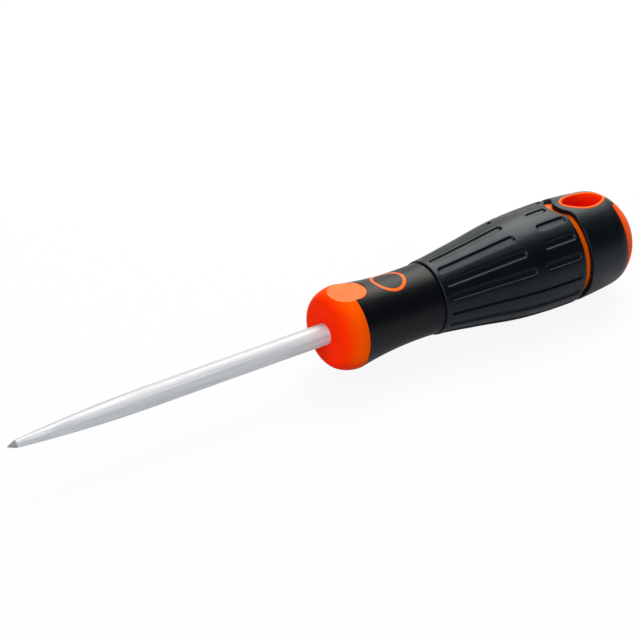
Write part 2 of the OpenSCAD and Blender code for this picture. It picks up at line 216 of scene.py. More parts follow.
class Handle:
    """Outline of the handle along the tool, worked out from the sidebar's sizes."""

    def __init__(self):
        scene = bpy.context.scene
        core, neck, grip = scene.awl_core, scene.awl_neck, scene.awl_grip
        rear, cap = scene.awl_rear, scene.awl_cap
        self.nose_end = core.nose
        self.nose_r = core.nose_diameter / 2
        self.face_r = core.face_diameter / 2
        self.waist_r = neck.waist_diameter / 2
        self.waist = neck.waist_place
        self.shoulder = core.nose + neck.neck
        self.seam = self.shoulder + grip.grip
        self.rear = self.seam + rear.seam_width
        self.cap = self.rear + rear.sleeve
        self.end = self.cap + cap.dome
        self.belly_r = grip.belly_diameter / 2
        self.end_r = rear.end_diameter / 2
        self.hole = self.rear + rear.hole_place
        swell = self.shoulder + grip.swell_place
        band = self.shoulder + grip.band_front
        belly = self.seam - grip.belly_back
        rounding = self.cap - rear.round_length
        run = (grip.band_diameter - grip.shoulder_diameter) / 2 / (band - self.shoulder)
        rise = (grip.belly_diameter - grip.swell_diameter) / 2 / (belly - swell)
        fall = (rear.end_diameter - grip.belly_diameter) / 2 / (self.cap - belly)
        self.stations = (
            (self.shoulder, grip.shoulder_diameter / 2, grip.shoulder_slope),
            (swell, grip.swell_diameter / 2, run),
            (band, grip.band_diameter / 2, rise),
            (belly, self.belly_r, 0.0),
            (rounding, rear.round_diameter / 2, fall),
            (self.cap, self.end_r, rear.end_slope),
        )
        self.dome_r = (cap.dome**2 + self.end_r**2) / (2 * cap.dome)
        self.dome_middle = self.end - self.dome_r
        half = rear.hole_length / 2 - rear.hole_end
        blend = rear.bulge_blend
        self.front_bulge = (self.rear, self.hole - half, rear.hole_end + rear.bulge_front, blend)
        self.back_bulge = (self.cap, self.hole + half, rear.hole_end + rear.bulge_back, blend)
        front, middle, radius, blend = self.front_bulge
        width = rear.seam_width
        self.seam_bulge = (front - width, middle, radius + width, blend - width)
        self.collar_front = bulge_line(self.seam_bulge, 0.0) - core.collar_lap
        self.collar_back = self.rear + core.collar_lap

    def neck(self, x):
        reach = (x - self.nose_end - self.waist) / self.waist
        return self.waist_r + (self.nose_r - self.waist_r) * reach * reach

    def barrel(self, x):
        """Radius of the grip, the rear sleeve and the dome at a place along the tool."""
        if x >= self.cap:
            return sqrt(max(self.dome_r**2 - (x - self.dome_middle) ** 2, 0.0))
        for (x0, r0, s0), (x1, r1, s1) in zip(self.stations, self.stations[1:]):
            if x <= x1:
                break
        u, run = max(x - x0, 0.0) / (x1 - x0), x1 - x0
        return (
            (2 * u**3 - 3 * u**2 + 1) * r0
            + (u**3 - 2 * u**2 + u) * run * s0
            + (3 * u**2 - 2 * u**3) * r1
            + (u**3 - u**2) * run * s1
        )

    def edge_at(self, bulge, turn):
        """Place of an edge that bulges round the hole, at an angle from the top."""
        x = bulge[0]
        for _ in range(40):
            x = (x + bulge_line(bulge, self.barrel(x) * sin(turn))) / 2
        return x

    def soft_edge(self, edge, soft, part):
        """Place and radius on a rounded edge, from 0 on the surface to 1 at the edge's end.

        The surface lies behind the edge, or in front of it where soft is negative.
        """
        x = edge + soft * (1 - sin(pi / 2 * part))
        return x, self.barrel(x) - abs(soft) * (1 - cos(pi / 2 * part))


def bulge_line(bulge, y):
    """Edge in plan: straight across, with a round bulge and hollow corners beside it."""
    edge, middle, radius, blend = bulge
    side = 1 if edge > middle else -1
    blend_x = edge + side * blend
    blend_y = sqrt((radius + blend) ** 2 - (blend_x - middle) ** 2)
    y = abs(y)
    if y <= radius * blend_y / (radius + blend):
        return middle + side * sqrt(radius**2 - y**2)
    if y < blend_y:
        return blend_x - side * sqrt(max(blend**2 - (blend_y - y) ** 2, 0.0))
    return edge


def arc(x, y, radius, start, stop, steps):
    """Points of an arc about a centre, from one angle to another."""
    turns = [start + (stop - start) * i / steps for i in range(steps + 1)]
    return [(x + radius * cos(turn), y + radius * sin(turn)) for turn in turns]


def hole_oval(handle, inward, steps=30):
    """Plan of the hang hole's lining, at a distance inside its outer wall: four arcs."""
    rear = bpy.context.scene.awl_rear
    end_r, half = rear.hole_end, rear.hole_width / 2
    reach = rear.hole_length / 2 - end_r
    side_r = (reach**2 + half**2 - end_r**2) / (2 * (half - end_r))
    turn = atan2(side_r - half, reach)
    x, y, plan = handle.hole, half - side_r, []
    for side, base in ((1, 0.0), (-1, pi)):
        first, last = base + turn, base + pi - turn
        plan += arc(x + side * reach, 0, end_r - inward, base - turn, first, steps)[:-1]
        plan += arc(x, side * y, side_r - inward, first, last, steps)[:-1]
    return plan


# ---- modelling by hand


def pick(piece=None):
    """Back to object mode with nothing selected, or with one piece selected and active."""
    if bpy.context.object and bpy.context.object.mode != "OBJECT":
        bpy.ops.object.mode_set(mode="OBJECT")
    bpy.ops.object.select_all(action="DESELECT")
    if piece:
        piece.select_set(True)
        bpy.context.view_layer.objects.active = piece
    return piece


def draw_line(name, points):
    """Starts from a small plane merged to one point, and draws a line from it point by point."""
    pick()
    bpy.ops.mesh.primitive_plane_add(size=0.001)
    piece = bpy.context.object
    piece.name = name
    bpy.ops.object.mode_set(mode="EDIT")
    bpy.ops.mesh.select_mode(type="VERT")
    bpy.ops.mesh.select_all(action="SELECT")
    bpy.ops.mesh.merge(type="CENTER")
    bpy.ops.transform.translate(value=points[0])
    for a, b in zip(points, points[1:]):
        step = tuple(q - p for p, q in zip(a, b))
        bpy.ops.mesh.extrude_region_move(TRANSFORM_OT_translate={"value": step})
    return piece


def close_up():
    """Merges meeting points and turns all faces outwards, then leaves edit mode."""
    bpy.ops.mesh.select_all(action="SELECT")
    bpy.ops.mesh.remove_doubles(threshold=1e-7)
    bpy.ops.mesh.normals_make_consistent(inside=False)
    bpy.ops.object.mode_set(mode="OBJECT")


def turned(name, outline, steps=256):
    """Outline of places and radii, drawn and spun about the tool's axis."""
    piece = draw_line(name, [(x, 0.0, r) for x, r in outline])
    bpy.ops.mesh.select_all(action="SELECT")
    bpy.ops.mesh.spin(steps=steps, angle=2 * pi, center=(0, 0, 0), axis=(1, 0, 0))
    close_up()
    return piece


def upright(name, plan, low, high):
    """Plan drawn as a line, filled and extruded upwards."""
    piece = draw_line(name, [(x, y, low) for x, y in plan])
    bpy.ops.mesh.select_all(action="SELECT")
    bpy.ops.mesh.edge_face_add()
    bpy.ops.mesh.extrude_region_move(TRANSFORM_OT_translate={"value": (0, 0, high - low)})
    close_up()
    return piece


def wrapped(name, rows, columns, place):
    """Grid laid over a form: its points go where place says, and its edges meet and merge."""
    pick()
    bpy.ops.mesh.primitive_grid_add(x_subdivisions=columns, y_subdivisions=rows, size=2)
    piece = bpy.context.object
    piece.name = name
    for point in piece.data.vertices:
        column = round((point.co.x + 1) / 2 * columns) % columns
        row = round((point.co.y + 1) / 2 * rows)
        point.co = place(row, column)
    bpy.ops.object.mode_set(mode="EDIT")
    close_up()
    return piece


def shaped(piece, other, how="DIFFERENCE"):
    """Cuts, joins or trims a piece with another one, which is used up."""
    modifier = piece.modifiers.new(how.lower(), "BOOLEAN")
    modifier.operation, modifier.object, modifier.solver = how, other, "EXACT"
    pick(piece)
    bpy.ops.object.modifier_apply(modifier=modifier.name)
    mesh = other.data
    bpy.data.objects.remove(other)
    bpy.data.meshes.remove(mesh)
    if not piece.data.polygons:
        raise RuntimeError(f"{piece.name} has nothing left after its {how.lower()}")
    return piece


def copied(piece, name):
    pick(piece)
    bpy.ops.object.duplicate()
    twin = bpy.context.object
    twin.name = name
    return twin


def finished(piece, node, material, angle=30):
    """Smooths a piece, gives it its finish and puts it in place of its solid."""
    pick(piece)
    bpy.ops.object.shade_smooth_by_angle(angle=radians(angle))
    piece.data.materials.clear()
    piece.data.materials.append(material)
    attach(piece, BODY)
    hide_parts(node)
    pick()


def painted_lighter(piece, material, chosen):
    """Gives the faces that are chosen by their middle and normal a second finish: the paler copy
    that paints light on them.
    """
    piece.data.materials.append(material)
    for face in piece.data.polygons:
        if chosen(face.center, face.normal):
            face.material_index = 1


def around(x, r, turn):
    """Point at a place along the tool, a radius and an angle from the top."""
    return Vector((x, -r * sin(turn), r * cos(turn)))


def rounded(x, r, radius, start, stop, steps=5):
    """Quarter round in an outline about a centre, from one angle to another in degrees."""
    return arc(x, r, radius, radians(start), radians(stop), steps)


# ---- finishes


def fill(node, **values):
    """Links or sets the inputs of a node, by their names with low lines for spaces."""
    for label, value in values.items():
        put(node.inputs[label.replace("_", " ")], value)
    return node


def put(socket, value):
    """Links a socket to an output, or sets it to a plain value."""
    if isinstance(value, bpy.types.NodeSocket):
        socket.id_data.links.new(value, socket)
    else:
        socket.default_value = value


def add(tree, kind, **values):
    """New shader node with its inputs filled."""
    return fill(tree.nodes.new("ShaderNode" + kind), **values)


def maths(operation, a, b, clamp=False):
    """One step of arithmetic on an output, with a number or another output."""
    node = add(a.id_data, "Math")
    node.operation, node.use_clamp = operation, clamp
    put(node.inputs[0], a)
    put(node.inputs[1], b)
    return node.outputs[0]


def noise(place, scale, detail, roughness=0.5):
    node = add(place.id_data, "TexNoise", Vector=place, Scale=scale)
    return fill(node, Detail=detail, Roughness=roughness).outputs["Fac"]


def spread(value, low, high):
    """Stretches a part of a value's range to the full range from 0 to 1."""
    node = add(value.id_data, "MapRange", Value=value, From_Min=low, From_Max=high)
    return node.outputs["Result"]


def between(value, low, high):
    """Brings a value from 0 to 1 between two limits."""
    node = add(value.id_data, "MapRange", Value=value, To_Min=low, To_Max=high)
    return node.outputs["Result"]


def mix(factor, a, b):
    """Colour between two colours, each a plain colour or another mix."""
    node = add(factor.id_data, "Mix", Factor=factor)
    node.data_type = "RGBA"
    for socket, value in ((node.inputs[6], a), (node.inputs[7], b)):
        put(socket, value if isinstance(value, bpy.types.NodeSocket) else (*value, 1.0))
    return node.outputs[2]


def node_group(name, scales, results):
    """New shader group from a place and scales to values, or the one that is already there."""
    tree = bpy.data.node_groups.get(name)
    if tree:
        return tree, None, None
    tree = bpy.data.node_groups.new(name, "ShaderNodeTree")
    sockets = [("Place", "INPUT", "Vector")]
    sockets += [(label, "INPUT", "Float") for label in scales]
    sockets += [(label, "OUTPUT", "Float") for label in results]
    for label, way, kind in sockets:
        tree.interface.new_socket(name=label, in_out=way, socket_type="NodeSocket" + kind)
    return tree, tree.nodes.new("NodeGroupInput").outputs, tree.nodes.new("NodeGroupOutput")


def moulded_grain():
    """Spark-eroded mould texture: fine grain, a coarser cloud and scattered bright specks."""
    tree, start, end = node_group(
        "moulded_grain", ("Grain Scale", "Cloud Scale"), ("Height", "Cloud", "Speck")
    )
    if start:
        place, scale = start["Place"], start["Grain Scale"]
        fine = noise(place, scale, 3.0, 0.6)
        coarse = noise(place, maths("MULTIPLY", scale, 0.35), 2.0)
        height = maths("ADD", fine, maths("MULTIPLY", coarse, 0.6))
        cloud = spread(noise(place, start["Cloud Scale"], 4.0, 0.55), 0.32, 0.68)
        fill(end, Height=height, Cloud=cloud, Speck=spread(fine, 0.55, 0.78))
    return tree


def handling_marks():
    """Uneven gloss that hands and use leave, as a value round a half."""
    tree, start, end = node_group("handling_marks", ("Scale",), ("Gloss",))
    if start:
        broad = noise(start["Place"], start["Scale"], 5.0, 0.6)
        fill(end, Gloss=spread(broad, 0.3, 0.7))
    return tree


class Finish:
    """Material under construction: a Principled shader and what feeds it."""

    def __init__(self, name):
        self.material = bpy.data.materials.new(name)
        self.material.use_nodes = True
        self.tree = self.material.node_tree
        self.shader = self.tree.nodes["Principled BSDF"]
        self.place = add(self.tree, "TexCoord").outputs["Object"]

    def group(self, tree, **values):
        node = add(self.tree, "Group")
        node.node_tree = tree
        return fill(node, Place=self.place, **values).outputs

    def feed(self, **values):
        fill(self.shader, **values)

    def along(self):
        """Place along the tool."""
        return add(self.tree, "SeparateXYZ", Vector=self.place).outputs["X"]

    def bump(self, height, strength, distance):
        node = add(self.tree, "Bump", Height=height, Strength=strength, Distance=distance)
        self.feed(Normal=node.outputs["Normal"])

    def stretched(self, scale):
        """Object coordinates drawn out along or across the tool."""
        return add(self.tree, "Mapping", Vector=self.place, Scale=scale).outputs["Vector"]


def satin_steel():
    """Drawn bar with streaks along it, rings from grinding and a darker, rougher ground point."""
    material = bpy.data.materials.get("satin_steel")
    if material:
        return material
    sizes, colours = bpy.context.scene.awl_blade, bpy.context.scene.awl_finish
    finish = Finish("satin_steel")
    rings = noise(finish.stretched((9000.0, 260.0, 260.0)), 1.0, 3.0, 0.6)
    streaks = noise(finish.stretched((22.0, 1500.0, 1500.0)), 1.0, 3.0, 0.6)
    marks = finish.group(handling_marks(), Scale=160.0)["Gloss"]
    edge, fade = sizes.point - sizes.bare, 0.0002
    ground = spread(finish.along(), edge + fade, edge - fade)
    dark = [c * 0.8 for c in colours.steel]
    drawn = mix(spread(streaks, 0.36, 0.64), dark, colours.steel)
    rougher = maths("MULTIPLY", ground, 0.1)
    turning = add(finish.tree, "Tangent")
    turning.direction_type, turning.axis = "RADIAL", "X"
    finish.feed(
        Base_Color=mix(ground, drawn, colours.point_steel),
        Roughness=maths("ADD", between(marks, 0.56, 0.64), rougher),
        Metallic=0.3,
        Anisotropic=0.85,
        Anisotropic_Rotation=0.25,
        Tangent=turning.outputs["Tangent"],
    )
    finish.bump(maths("ADD", rings, maths("MULTIPLY", streaks, 0.4)), 0.12, 0.00003)
    return finish.material


def moulding(name, tone, scales, low, high, level, tint, strength, depth):
    """Moulded plastic: a tone made from the mould's grain, uneven gloss and a fine skin."""
    material = bpy.data.materials.get(name)
    if material:
        return material
    finish = Finish(name)
    grain_scale, cloud_scale, marks_scale = scales
    grain = finish.group(moulded_grain(), Grain_Scale=grain_scale, Cloud_Scale=cloud_scale)
    marks = finish.group(handling_marks(), Scale=marks_scale)["Gloss"]
    finish.feed(
        Base_Color=tone(finish, grain),
        Roughness=between(marks, low, high),
        Specular_IOR_Level=level,
        Specular_Tint=(*tint, 1.0),
    )
    finish.bump(grain["Height"], strength, depth)
    return finish.material


def orange_plastic(name, surface, low, high, level, shade_colour=None):
    """Hard orange plastic. With a shade colour it gets painted shade: redder in recesses, by
    ambient occlusion, and towards the nose's face.
    """

    def tone(finish, grain):
        cloudy = [c * part for c, part in zip(surface, (0.97, 0.82, 0.8))]
        clouded = mix(grain["Cloud"], surface, cloudy)
        if not shade_colour:
            return clouded
        # painted shade: ambient occlusion deepens the colour in recesses and inside the hang hole
        painted_occlusion = add(finish.tree, "AmbientOcclusion", Distance=0.012)
        painted_occlusion.samples = 12
        # painted shade: the colour turns deeper red towards the nose's face
        face, flank, least = -0.0004, 0.0044, 0.2
        rim = maths("MAXIMUM", spread(finish.along(), face, flank), least)
        unshaded = maths("MULTIPLY", rim, spread(painted_occlusion.outputs["AO"], 0.3, 0.95))
        return mix(unshaded, shade_colour, clouded)

    scales, tint = (3600.0, 110.0, 130.0), (1.0, 0.55, 0.3)
    return moulding(name, tone, scales, low, high, level, tint, strength=0.1, depth=0.00004)


def orange_moulding():
    colours = bpy.context.scene.awl_finish
    # the shade colour paints shade in recesses and on the nose's face
    shade_colour = colours.orange_painted_shade
    return orange_plastic("orange_moulding", colours.orange, 0.28, 0.35, level=0.008, shade_colour=shade_colour)


def orange_painted_light():
    # painted light: paler and glossier orange for faces that face the lamps, and for the seam's
    # strip
    colours = bpy.context.scene.awl_finish
    return orange_plastic("orange_painted_light", colours.orange_painted_light, 0.26, 0.33, level=0.125)


def matt_black(name, dark, pale, low, high, level, tint, strength):
    """Matt black plastic with paler clouds and specks."""

    def tone(finish, grain):
        clouds = maths("MULTIPLY", grain["Cloud"], 0.55)
        specks = maths("MULTIPLY", grain["Speck"], 0.45)
        return mix(maths("ADD", clouds, specks, clamp=True), dark, pale)

    scales = (2600.0, 150.0, 85.0)
    return moulding(name, tone, scales, low, high, level, tint, strength, depth=0.00006)


def neck_black():
    colours = bpy.context.scene.awl_finish
    dark, pale, tint = colours.neck, colours.neck_light, (0.92, 0.92, 0.9)
    return matt_black("neck_matt_moulding", dark, pale, 0.34, 0.42, 0.18, tint, strength=0.42)


def grip_black():
    colours = bpy.context.scene.awl_finish
    dark, pale, tint = colours.grip, colours.grip_light, (0.74, 0.89, 1.0)
    return matt_black("grip_soft_moulding", dark, pale, 0.35, 0.44, 0.3, tint, strength=0.34)


# ---- pieces


def wing_blocks(grow=0.0):
    """One lying pair and one upright pair of pressed wings."""
    blade = bpy.context.scene.awl_blade
    span, thick = blade.wing_span / 2 + grow, blade.wing_thickness / 2 + grow
    slope, last = blade.wing * 0.22, blade.tang - blade.wing_margin - blade.wing
    blocks = []
    for name, x in (("wings_lying", blade.wing_margin), ("wings_upright", last)):
        end = x + blade.wing
        front, back = x + slope - grow, end - slope + grow
        plan = [(x - grow, 0.0), (front, span), (back, span)]
        plan += [(end + grow, 0.0), (back, -span), (front, -span)]
        blocks.append(upright(name, plan, -thick, thick))
    pick(blocks[1])
    bpy.ops.object.mode_set(mode="EDIT")
    bpy.ops.mesh.select_all(action="SELECT")
    bpy.ops.transform.rotate(value=pi / 2, orient_axis="X", center_override=(0, 0, 0))
    pick()
    return blocks


class Step:
    """What the operators share."""

    bl_options = {"REGISTER", "UNDO"}


class AWL_OT_blade(Step, Operator):
    """Turn the steel blade with its curved taper, ground point, tang and pressed wings"""

    bl_idname = "mesh.awl_blade"
    bl_label = "Blade"

    def execute(self, context):
        sizes = context.scene.awl_blade
        radius, tang_r = sizes.diameter / 2, sizes.tang_diameter / 2
        point_r, tip_r = sizes.point_diameter / 2, sizes.tip / 2
        taper = sizes.taper - sizes.bare
        point = sizes.point - sizes.bare
        tip, steps, rings = -sizes.bare, 40, 8
        outline = [(tip, 0.0), (tip, tip_r * 0.6), (tip + tip_r * 0.3, tip_r)]
        outline += [(point - 0.00008, point_r - 0.00005)]  # fine edge where the grinding stops
        for i in range(steps + 1):
            u = 1 - i / steps
            outline.append((taper + (point - taper) * u, radius - (radius - point_r) * u * u))
        outline += [(taper * (1 - i / rings), radius) for i in range(1, rings + 1)]
        chamfer = tang_r * 0.43
        outline += [(0.0, tang_r), (sizes.tang - chamfer, tang_r)]
        outline += [(sizes.tang, tang_r - chamfer), (sizes.tang, 0.0)]
        piece = turned("blade_steel", outline, 96)
        for wings in wing_blocks():
            shaped(piece, wings, "UNION")
        finished(piece, "blade", satin_steel(), 25)
        return {"FINISHED"}


def tongue_plan(grow=0.0):
    """Plan of the tongue, from inside the nose to its round end."""
    core = bpy.context.scene.awl_core
    half = core.tongue_width / 2 + grow
    middle = core.nose + core.tongue - core.tongue_width / 2
    plan = [(core.nose / 2, half), (core.nose / 2, -half)]
    return plan + arc(middle, 0, half, -pi / 2, pi / 2, 40)


def cut_hole(piece, handle):
    """Cuts the hang hole's place through a piece."""
    top = handle.belly_r * 1.1
    shaped(piece, upright("hole_cut", hole_oval(handle, -GAP), -top, top))


def mark_disc(name, radius, low, high):
    """Upright disc at the place of the ring mark."""
    plan = arc(bpy.context.scene.awl_core.mark_place, 0, radius, 0, 2 * pi, 96)[:-1]
    return upright(name, plan, low, high)


def neck_outline(handle, start, stop, steps=60):
    places = [start + (stop - start) * i / steps for i in range(steps + 1)]
    return [(x, handle.neck(x)) for x in places]


class AWL_OT_core(Step, Operator):
    """Turn the hard core, raise its tongue and ring mark, and cut its flat, bore and hang hole"""

    bl_idname = "mesh.awl_core"
    bl_label = "Hard core"

    def execute(self, context):
        handle, core, blade = Handle(), context.scene.awl_core, context.scene.awl_blade
        soft = 0.00014  # rounding of the nose's rear edge
        root = handle.nose_end - 0.0005  # the tongue starts inside the nose
        sunk = 0.0004  # from the neck's seat down to the floor inside the ring
        before, over = -0.001, 0.0002  # the flat's cut passes the nose and the tongue
        bore = blade.tang_diameter / 2 + GAP
        tang = blade.tang + GAP
        collar_front, collar_back = handle.collar_front, handle.collar_back
        outline = [(tang, 0.0), (tang, bore), (0.0, bore), (0.0, handle.face_r)]
        steps = 30
        rise = handle.nose_r - handle.face_r
        for i in range(1, steps + 1):
            turn = pi / 2 * i / steps
            x = handle.nose_end * (1 - cos(turn))
            if x < handle.nose_end - soft:
                outline.append((x, handle.face_r + rise * sin(turn)))
        outline += rounded(handle.nose_end - soft, handle.nose_r - soft, soft, 90, 0, 4)
        end = handle.cap + core.spigot
        outline += [(handle.nose_end, core.seat_radius), (handle.shoulder, core.seat_radius)]
        outline += [(collar_front, core.belly_radius), (collar_front, core.collar_radius)]
        outline += [(collar_back, core.collar_radius), (collar_back, core.belly_radius)]
        outline += [(handle.cap, core.rear_radius), (handle.cap, core.spigot_radius)]
        outline += [(end, core.spigot_radius), (end, 0.0)]
        piece = turned("core_moulding", outline)
        top = handle.belly_r
        form = [(root, 0.0), (root, core.seat_radius), (root, handle.neck(handle.nose_end) - soft)]
        form += neck_outline(handle, handle.nose_end, handle.shoulder)
        form += [(handle.shoulder, 0.0)]
        tongue = turned("tongue", form)
        mark = copied(tongue, "ring_mark")
        radius, low = core.mark_diameter / 2, core.seat_radius / 2
        shaped(tongue, upright("tongue_plan", tongue_plan(), low, top), "INTERSECT")
        ring = mark_disc("ring_plan", radius, low, top)
        inside, floor = radius - core.mark_line, core.seat_radius - sunk
        shaped(ring, mark_disc("ring_inside", inside, floor, top * 1.1))
        shaped(mark, ring, "INTERSECT")
        shaped(piece, tongue, "UNION")
        shaped(piece, mark, "UNION")
        reach = core.nose + core.tongue + over
        half = handle.nose_r * 1.1
        plan = [(before, -half), (reach, -half), (reach, half), (before, half)]
        shaped(piece, upright("thumb_flat", plan, core.flat_height, top))
        for wings in wing_blocks(GAP):
            shaped(piece, wings)
        cut_hole(piece, handle)
        finished(piece, "handle_core", orange_moulding(), 14)

        def on_flat(middle):
            return abs(middle.z - core.flat_height) < 1e-5 and middle.x < reach

        def gets_painted_light(middle, normal):
            """Faces given the paler copy as painted light: thumb flat, tongue, ring mark and the
            strip in the seam, with loose limits.
            """
            line = core.mark_line / 2
            off_line = abs(hypot(middle.x - core.mark_place, middle.y) - radius + line)
            on_ring = off_line < line and middle.z > handle.waist_r * 0.7
            on_tongue = handle.nose_end < middle.x < reach and middle.z > core.seat_radius * 0.8
            on_strip = collar_front < middle.x < collar_back
            on_strip = on_strip and hypot(middle.y, middle.z) > core.collar_radius * 0.98
            return on_strip or (normal.z > 0.6 and (on_ring or on_tongue or on_flat(middle)))

        painted_lighter(piece, orange_painted_light(), gets_painted_light)
        for face in piece.data.polygons:
            if on_flat(face.center):
                face.use_smooth = False
        return {"FINISHED"}


class AWL_OT_neck(Step, Operator):
    """Turn the soft neck sleeve with its openings, and the disc inside the ring mark"""

    bl_idname = "mesh.awl_neck"
    bl_label = "Neck sleeve and thumb disc"

    def execute(self, context):
        handle, core, sizes = Handle(), context.scene.awl_core, context.scene.awl_neck
        soft, flare = sizes.soft_edge, 0.0003  # the lap's inside widens to its end
        seat = core.seat_radius + GAP
        start, stop = handle.nose_end + GAP, handle.shoulder - sizes.shoulder_line
        lap_end, lap_r = handle.shoulder + sizes.lap - GAP, sizes.lap_radius - GAP
        outline = [(start, seat)]
        outline += rounded(start + soft, handle.neck(start + soft) - soft, soft, 180, 90)
        outline += neck_outline(handle, start + soft * 2, stop - soft * 2)
        outline += rounded(stop - soft, handle.neck(stop - soft) - soft, soft, 90, 0)
        outline += [(stop, lap_r), (lap_end, lap_r), (lap_end, seat + flare)]
        outline += [(handle.shoulder, seat), (start, seat)]
        sleeve = turned("neck_skin", outline)
        disc = copied(sleeve, "thumb_disc")
        top, radius = handle.belly_r, core.mark_diameter / 2
        shaped(sleeve, upright("tongue_opening", tongue_plan(GAP), 0.0, top))
        shaped(sleeve, mark_disc("ring_opening", radius + GAP, 0.0, top))
        shaped(disc, mark_disc("disc_plan", radius - core.mark_line - GAP, 0.0, top), "INTERSECT")
        finished(sleeve, "neck_sleeve", neck_black())
        finished(disc, "thumb_pad", neck_black())
        return {"FINISHED"}


class AWL_OT_grip(Step, Operator):
    """Wrap the soft barrel, with its grooves, the bare band across the top and the seam's edge"""

    bl_idname = "mesh.awl_grip"
    bl_label = "Grooved grip"

    def execute(self, context):
        handle, core = Handle(), context.scene.awl_core
        sizes, neck = context.scene.awl_grip, context.scene.awl_neck
        count, pitch = sizes.grooves, 2 * pi / sizes.grooves
        band = handle.shoulder + sizes.band_place
        first = handle.shoulder + sizes.front_margin
        half_width, run = sizes.groove_width / 2, sizes.groove_edge
        lead = 0.35  # part of a groove's wall that lies outside its line

        def band_half(turn):
            """Half the width of the bare band, which narrows slowly at first."""
            reach = abs(turn) / sizes.band_angle
            return sizes.band_width / 2 * (1 - reach**1.5) if reach < 1 else 0.0

        def from_top(turn):
            return (turn + pi) % (2 * pi) - pi

        slots = []
        for k in range(count):
            turn = from_top(k * pitch)
            last = handle.edge_at(handle.seam_bulge, turn) - sizes.back_margin
            bare = band_half(turn)
            split = bare > half_width
            slots.append([(first, band - bare), (band + bare, last)] if split else [(first, last)])

        def groove_depth(k, x, t):
            """Depth below the barrel at a distance beside the middle of a groove."""
            corner, deepest = sizes.groove_corner, 0.0
            for start, stop in slots[k]:
                across = abs(t) - half_width + corner
                along = abs(x - (start + stop) / 2) - (stop - start) / 2 + corner
                outside = hypot(max(across, 0.0), max(along, 0.0)) - corner
                outside += min(max(across, along), 0.0)
                u = min(max(lead - outside / run, 0.0), 1.0)
                deepest = max(deepest, sizes.groove_depth * u * u * (3 - 2 * u))
            return deepest

        # Columns from the middle of a groove over its wall, and on the land between two grooves.
        walls = (-0.66, -0.53, -0.39, -0.23, -0.07, 0.09, 0.23, 0.37)
        side = [half_width * 0.22] + [half_width + run * f for f in walls]
        lanes = [-t for t in reversed(side)] + [0.0] + side
        lands = (0.25, 0.5, 0.75)
        per = len(lanes) + len(lands)

        def column_turn(column, radius):
            """Angle of a column, its groove and its distance from that groove's middle."""
            k, lane = divmod(column, per)
            if lane < len(lanes):
                return k * pitch + lanes[lane] / radius, k, lanes[lane]
            margin = side[-1] / radius
            f = lands[lane - len(lanes)]
            return k * pitch + margin + (pitch - 2 * margin) * f, k, half_width * 2

        # Rows from mark to mark, close together where grooves end.
        near, far = 0.0003, 0.0014
        marks = [("front", 0.0), ("first", -near), ("first", far)]
        marks += [("band_front", -far), ("band_front", near)]
        marks += [("band_back", -near), ("band_back", far)]
        marks += [("last", -far), ("last", near), ("back", 0.0)]
        counts = (3, 14, 26, 14, 6, 14, 6, 14, 4)
        outer = []
        for a, b, steps in zip(marks, marks[1:], counts):
            outer += [(a, b, i / steps) for i in range(steps)]
        outer.append((marks[-1], marks[-1], 0.0))
        turns, flare = 5, 0.0006  # rows of a rounded edge, play over the core's neck
        least = 0.0009  # half the band's rows where it has run out
        collar, belly = core.collar_radius + GAP, core.belly_radius + GAP
        lap_end, collar_end = handle.shoulder + neck.lap, handle.collar_front - GAP
        inside = [("edge", collar), (collar_end, collar), (collar_end, belly)]
        inside += [(lap_end, core.seat_radius + flare), (lap_end, neck.lap_radius)]
        inside += [(handle.shoulder, neck.lap_radius)]
        # Places of the marks along the tool, for each column.
        stops = []
        for column in range(per * count):
            turn = from_top(column_turn(column, handle.belly_r)[0])
            seam = handle.edge_at(handle.seam_bulge, turn)
            bare = max(band_half(turn), least)
            at = {"front": handle.shoulder + sizes.front_round, "first": first, "edge": seam}
            at.update(band_front=band - bare, band_back=band + bare)
            at.update(last=seam - sizes.back_margin, back=seam - sizes.back_round)
            stops.append(at)
        back = turns + len(outer)
        rows = back + turns + len(inside)

        def place(row, column):
            row %= rows
            at = stops[column]
            if row < turns:
                x, r = handle.soft_edge(handle.shoulder, sizes.front_round, 1 - row / turns)
            elif row < back:
                (a, da), (b, db), f = outer[row - turns]
                x = (at[a] + da) * (1 - f) + (at[b] + db) * f
                r = handle.barrel(x)
            elif row < back + turns:
                x, r = handle.soft_edge(at["edge"], -sizes.back_round, (row - back + 1) / turns)
            else:
                x, r = inside[row - back - turns]
                x = at["edge"] if x == "edge" else x
            turn, k, t = column_turn(column, handle.barrel(x))
            if turns <= row < back:
                r -= groove_depth(k, x, t)
            return around(x, r, turn)

        piece = wrapped("grip_barrel", rows, per * count, place)
        finished(piece, "grip_sleeve", grip_black(), 50)
        return {"FINISHED"}


def edge_spans(handle, columns, *bulges):
    """Angle of each column, closer together at the top and the underside, with its edges."""
    spans, crowding = [], 0.3
    for column in range(columns):
        turn = 2 * pi * column / columns
        turn -= crowding * sin(2 * turn)
        spans.append((turn, *(handle.edge_at(bulge, turn) for bulge in bulges)))
    return spans


